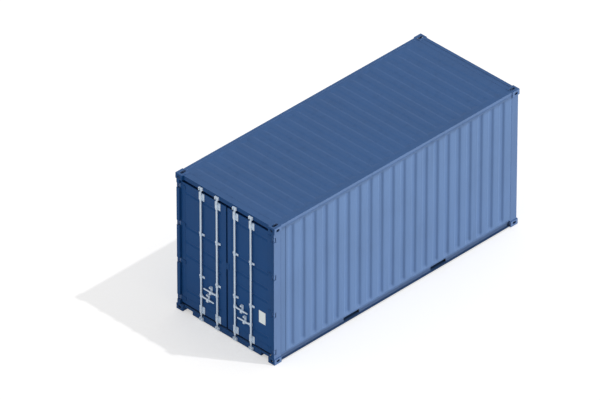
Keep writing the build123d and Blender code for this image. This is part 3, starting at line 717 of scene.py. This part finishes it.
# Bolts of the bearings, guides and retainers: places from the bar and from each fitting's middle
FOOT_PLATE = 0.006
FOOT_FACE = LEAF_FACE - FOOT_PLATE
BEARING_HALF, BEARING_ACROSS, BEARING_UP = 0.075, 0.050, 0.055
bearings_low, bearings_high = corners("bar_bearings_left")
BEARING_HEIGHTS = (bearings_low[2] + BEARING_HALF, bearings_high[2] - BEARING_HALF)
GUIDE_HEIGHTS, GUIDE_ACROSS = (0.956, 1.862), 0.048
RETAINER_ACROSS, RETAINER_OFFSETS = 0.163, (-0.064, 0.056)
BEARING_BOLT, RETAINER_BOLT = 0.0075, 0.006
for side, leaf in ((-1, "left"), (1, "right")):
    bm = bmesh.new()
    for x, handle_z, hand in BARS:
        if x * side < 0:
            continue
        for z in BEARING_HEIGHTS:
            for dx in (-BEARING_ACROSS, BEARING_ACROSS):
                for dz in (-BEARING_UP, BEARING_UP):
                    add_bolt(bm, (x + dx, FOOT_FACE, z + dz), BEARING_BOLT)
        for z in GUIDE_HEIGHTS:
            for dx in (-GUIDE_ACROSS, GUIDE_ACROSS):
                add_bolt(bm, (x + dx, FOOT_FACE, z), BEARING_BOLT)
        for dz in RETAINER_OFFSETS:
            add_bolt(bm, (x + hand * RETAINER_ACROSS, FOOT_FACE, handle_z + dz), RETAINER_BOLT)
    new_piece(f"fitting_bolts_{leaf}", bm, f"door_{leaf}", "galvanised")

# Countersunk screws hold the floor to each cross member
MEMBER_HALF = 0.0225
NEAR_MEMBERS, FAR_MEMBERS = 2, 5
SCREWS_EACH_SIDE, SCREW_PITCH = 7, 0.150
SCREW_PROFILE = [(0.0065, 0), (0.0060, 0.0005), (0.0022, 0.0002)]
near_step = POCKET_NEAR / (NEAR_MEMBERS + 1)
far_step = (MEMBERS_END - 2 * MEMBER_HALF - POCKET_FAR) / FAR_MEMBERS
half_members = [near_step * (i + 1) for i in range(NEAR_MEMBERS)]
half_members += [POCKET_NEAR - MEMBER_HALF, POCKET_FAR + MEMBER_HALF]
half_members += [POCKET_FAR + far_step * (i + 1) + MEMBER_HALF for i in range(FAR_MEMBERS)]
bm = bmesh.new()
for y in [MEMBER_HALF] + half_members + [-y for y in half_members]:
    for i in range(-SCREWS_EACH_SIDE, SCREWS_EACH_SIDE + 1):
        place = facing(UPWARD, (SCREW_PITCH * i, y, FLOOR_TOP))
        add_lathe(bm, SCREW_PROFILE, SCREW_SIDES, place)
new_piece("floor_screws", bm, "frame", "galvanised")

# A rivet in each corner of the bare plate
RIVET_SIZE, RIVET_INSET = 0.004, 0.010
plate_low, plate_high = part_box("data_plate")
bm = bmesh.new()
for x in (plate_low[0] + RIVET_INSET, plate_high[0] - RIVET_INSET):
    for z in (plate_low[2] + RIVET_INSET, plate_high[2] - RIVET_INSET):
        place = facing(FORWARD, (x, plate_low[1], z))
        add_lathe(bm, sized(RIVET_SHARES, RIVET_SIZE), RIVET_SIDES, place)
new_piece("plate_rivets", bm, "door_right", "plate_metal")


# The studio: floor, world, lamps and camera
def flat_shader(graph, kind, tone, strength=None):
    """Diffuse or glowing shader of one tone."""
    node = graph.add(kind)
    node.inputs["Color"].default_value = (*tone, 1)
    if strength is not None:
        node.inputs["Strength"].default_value = strength
    return node


# The floor lights the part in one tone, and is seen in another with a glow that turns it white
WHITE, FLOOR_LIT, FLOOR_SEEN = (1, 1, 1), (0.9, 0.9, 0.9), (0.77, 0.76, 0.75)
FLOOR_SIZE, FLOOR_Z, FLOOR_GLOW = 150, -0.002, 0.450
AMBIENT = 0.58

bm = bmesh.new()
bmesh.ops.create_grid(bm, x_segments=1, y_segments=1, size=FLOOR_SIZE)
mesh = bpy.data.meshes.new("floor_plane")
bm.to_mesh(mesh)
bm.free()
floor = bpy.data.objects.new("floor_plane", mesh)
floor.location.z = FLOOR_Z
scene.collection.objects.link(floor)
mat = bpy.data.materials.new("studio_floor")
mesh.materials.append(mat)

g = Graph(mat)
path = g.add("ShaderNodeLightPath")
lit = flat_shader(g, "ShaderNodeBsdfDiffuse", FLOOR_LIT)
seen = flat_shader(g, "ShaderNodeBsdfDiffuse", FLOOR_SEEN)
glow = g.add("ShaderNodeEmission")
looked_at = g.math("MAXIMUM", (path, "Is Camera Ray"), (path, "Is Glossy Ray"))
g.plug(g.math("MULTIPLY", looked_at, FLOOR_GLOW), glow, "Strength")
both = g.add("ShaderNodeAddShader")
g.link(g.either((path, "Is Camera Ray"), lit, seen), 0, both, 0)
g.link(glow, 0, both, 1)
g.link(both, 0, g.add("ShaderNodeOutputMaterial"), "Surface")

world = bpy.data.worlds.new("studio")
scene.world = world
g = Graph(world)
path = g.add("ShaderNodeLightPath")
ambient = flat_shader(g, "ShaderNodeBackground", WHITE, AMBIENT)
white = flat_shader(g, "ShaderNodeBackground", WHITE, 1.0)
looked_at = g.math("MAXIMUM", (path, "Is Camera Ray"), (path, "Is Glossy Ray"))
looked_at = g.math("MAXIMUM", looked_at, (path, "Is Transmission Ray"))
g.link(g.either(looked_at, ambient, white), 0, g.add("ShaderNodeOutputWorld"), "Surface")


LAMP_DISTANCE = 10


def sun(name, direction, strength, angle):
    """Sun lamp; direction points from the object to the light, angle is its width in degrees."""
    data = bpy.data.lights.new(name, "SUN")
    data.energy = strength
    data.angle = math.radians(angle)
    lamp = bpy.data.objects.new(name, data)
    lamp.rotation_mode = "QUATERNION"
    lamp.rotation_quaternion = Vector(direction).to_track_quat("Z", "Y")
    lamp.location = Vector(direction) * LAMP_DISTANCE
    scene.collection.objects.link(lamp)


# The high lamp casts the shadow, and the low one brightens the side wall
HIGH_DIRECTION, HIGH_STRENGTH, HIGH_ANGLE = (1.500, 1.040, 2.896), 0.27 * math.pi, 1.0
SIDE_DIRECTION, SIDE_STRENGTH, SIDE_ANGLE = (0.850, 0.520, 0.05), 0.48 * math.pi, 12
sun("high_lamp", HIGH_DIRECTION, HIGH_STRENGTH, HIGH_ANGLE)
sun("side_lamp", SIDE_DIRECTION, SIDE_STRENGTH, SIDE_ANGLE)

# A long lens from far away, close to a parallel view
CAMERA_PLACE, LOOK_AT = (103.039, -103.882, 104.461), (-1.1962, 0, 0.8093)
LENS, SENSOR, CLIP_NEAR, CLIP_FAR = 613.8, 36, 1, 1000
camera_data = bpy.data.cameras.new("camera")
camera_data.lens = LENS
camera_data.sensor_width = SENSOR
camera_data.clip_start = CLIP_NEAR
camera_data.clip_end = CLIP_FAR
camera = bpy.data.objects.new("camera", camera_data)
camera.location = CAMERA_PLACE
look = Vector(LOOK_AT) - Vector(camera.location)
camera.rotation_mode = "QUATERNION"
camera.rotation_quaternion = look.to_track_quat("-Z", "Y")
scene.collection.objects.link(camera)
scene.camera = camera
scene.view_settings.view_transform = "Standard"
